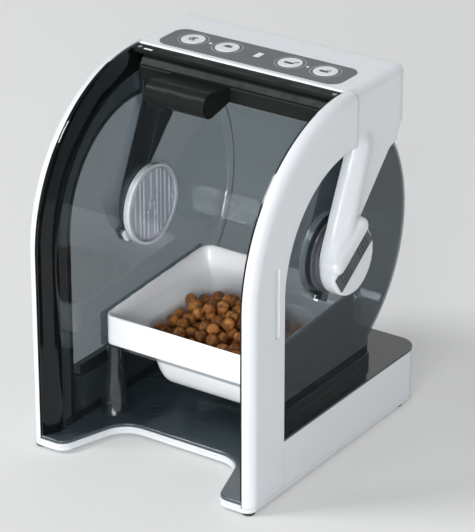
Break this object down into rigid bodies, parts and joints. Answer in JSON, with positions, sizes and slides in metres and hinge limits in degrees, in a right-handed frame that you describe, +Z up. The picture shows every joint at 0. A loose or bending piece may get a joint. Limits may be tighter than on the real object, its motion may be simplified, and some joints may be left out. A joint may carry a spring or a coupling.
{
  "type": "microchip pet feeder",
  "caption": "White and smoke plastic pet feeder: a tunnel over a lift-out bowl, closed by a clear motorised barrier, with control buttons on top.",
  "frame": {"origin": "on the floor, below the middle of the feeder", "axes": "+Z up; +Y to the rear, so the tunnel's mouth opens towards -Y; +X to the right seen from the front"},
  "size_m": [0.27, 0.298, 0.3589],
  "materials": {
    "white": "gloss",
    "smoke": "clear smoke",
    "clear": "clear",
    "black": "gloss",
    "slate": "satin",
    "dark_satin": "satin",
    "rubber": "matt",
    "steel": "satin",
    "nylon": "satin",
    "board": "satin",
    "ferrite": "matt",
    "copper": "enamelled",
    "cell": "satin",
    "lamp": "diffuse"
  },
  "bodies": {
    "frame": {"base_shell": "white", "base_plate": "white", "rubber_feet": "rubber", "base_screws": "steel", "floor_liner": "black", "liner_screws": "black", "top_plate": "black", "right_limb": "white", "left_limb": "white", "right_tunnel_trim": "smoke", "left_tunnel_trim": "smoke", "right_side_panel": "smoke", "left_side_panel": "smoke", "rear_guard": "smoke", "top_housing": "white", "right_pod_cover": "white", "left_pod_cover": "white", "right_pod_grille": "dark_satin", "left_pod_grille": "dark_satin", "right_hub_bush": "white", "left_hub_bush": "white", "ceiling_cover": "black", "ceiling_screws": "steel", "sensor_window": "lamp", "antenna_core": "ferrite", "antenna_winding": "copper", "control_label": "slate", "main_board": "board", "button_switches": "dark_satin", "status_lights": "lamp", "battery_window": "lamp", "gear_axle": "steel", "drive_motor": "steel", "bowl_cradle": "clear", "battery_tray": "dark_satin", "battery_cells": "cell", "battery_contacts": "steel"},
    "barrier": {"clear_barrier": "clear", "right_hub_ring": "white", "left_hub_ring": "white", "right_hub_disc": "clear", "left_hub_disc": "clear", "drive_gear": "nylon"},
    "reduction": {"reduction_gear": "nylon"},
    "pinion": {"motor_pinion": "nylon"},
    "bowl": {"food_bowl": "white"},
    "door": {"battery_door": "white"},
    "right_tab": {"right_release_tab": "white"},
    "left_tab": {"left_release_tab": "white"},
    "button_1": {"push_button_1": "white"},
    "button_2": {"push_button_2": "white"},
    "button_3": {"push_button_3": "white"},
    "button_4": {"push_button_4": "white"}
  },
  "joints": [
    {"name": "barrier_turn", "type": "hinge", "parent": "frame", "child": "barrier", "pos_m": [0, 0.013, 0.197], "axis": [1, 0, 0], "range_deg": [0, 180]},
    {"name": "reduction_spin", "type": "hinge", "parent": "frame", "child": "reduction", "pos_m": [-0.117, 0.01776, 0.2157], "axis": [1, 0, 0], "range_deg": [-545, 5]},
    {"name": "pinion_spin", "type": "hinge", "parent": "frame", "child": "pinion", "pos_m": [-0.121, 0.00294, 0.21192], "axis": [1, 0, 0], "range_deg": [-5, 1175]},
    {"name": "button_1_press", "type": "slide", "parent": "frame", "child": "button_1", "axis": [0, 0, -1], "range_m": [0, 0.0008], "stiffness_N_per_m": 400, "springref_m": -0.002},
    {"name": "button_2_press", "type": "slide", "parent": "frame", "child": "button_2", "axis": [0, 0, -1], "range_m": [0, 0.0008], "stiffness_N_per_m": 400, "springref_m": -0.002},
    {"name": "button_3_press", "type": "slide", "parent": "frame", "child": "button_3", "axis": [0, 0, -1], "range_m": [0, 0.0008], "stiffness_N_per_m": 400, "springref_m": -0.002},
    {"name": "button_4_press", "type": "slide", "parent": "frame", "child": "button_4", "axis": [0, 0, -1], "range_m": [0, 0.0008], "stiffness_N_per_m": 400, "springref_m": -0.002},
    {"name": "bowl_lift", "type": "slide", "parent": "frame", "child": "bowl", "axis": [0, 0, 1], "range_m": [0, 0.08]},
    {"name": "battery_door_pull", "type": "slide", "parent": "frame", "child": "door", "axis": [0, 1, 0], "range_m": [0, 0.025]},
    {"name": "right_tab_slide", "type": "slide", "parent": "frame", "child": "right_tab", "axis": [0, -0.5373, -0.8434], "range_m": [0, 0.002], "stiffness_N_per_m": 300, "springref_m": -0.002},
    {"name": "left_tab_slide", "type": "slide", "parent": "frame", "child": "left_tab", "axis": [0, -0.8704, -0.4924], "range_m": [0, 0.002], "stiffness_N_per_m": 300, "springref_m": -0.002}
  ],
  "couplings": [
    {"joint": "reduction_spin", "follows": "barrier_turn", "ratio": -3},
    {"joint": "pinion_spin", "follows": "barrier_turn", "ratio": 6.5}
  ]
}
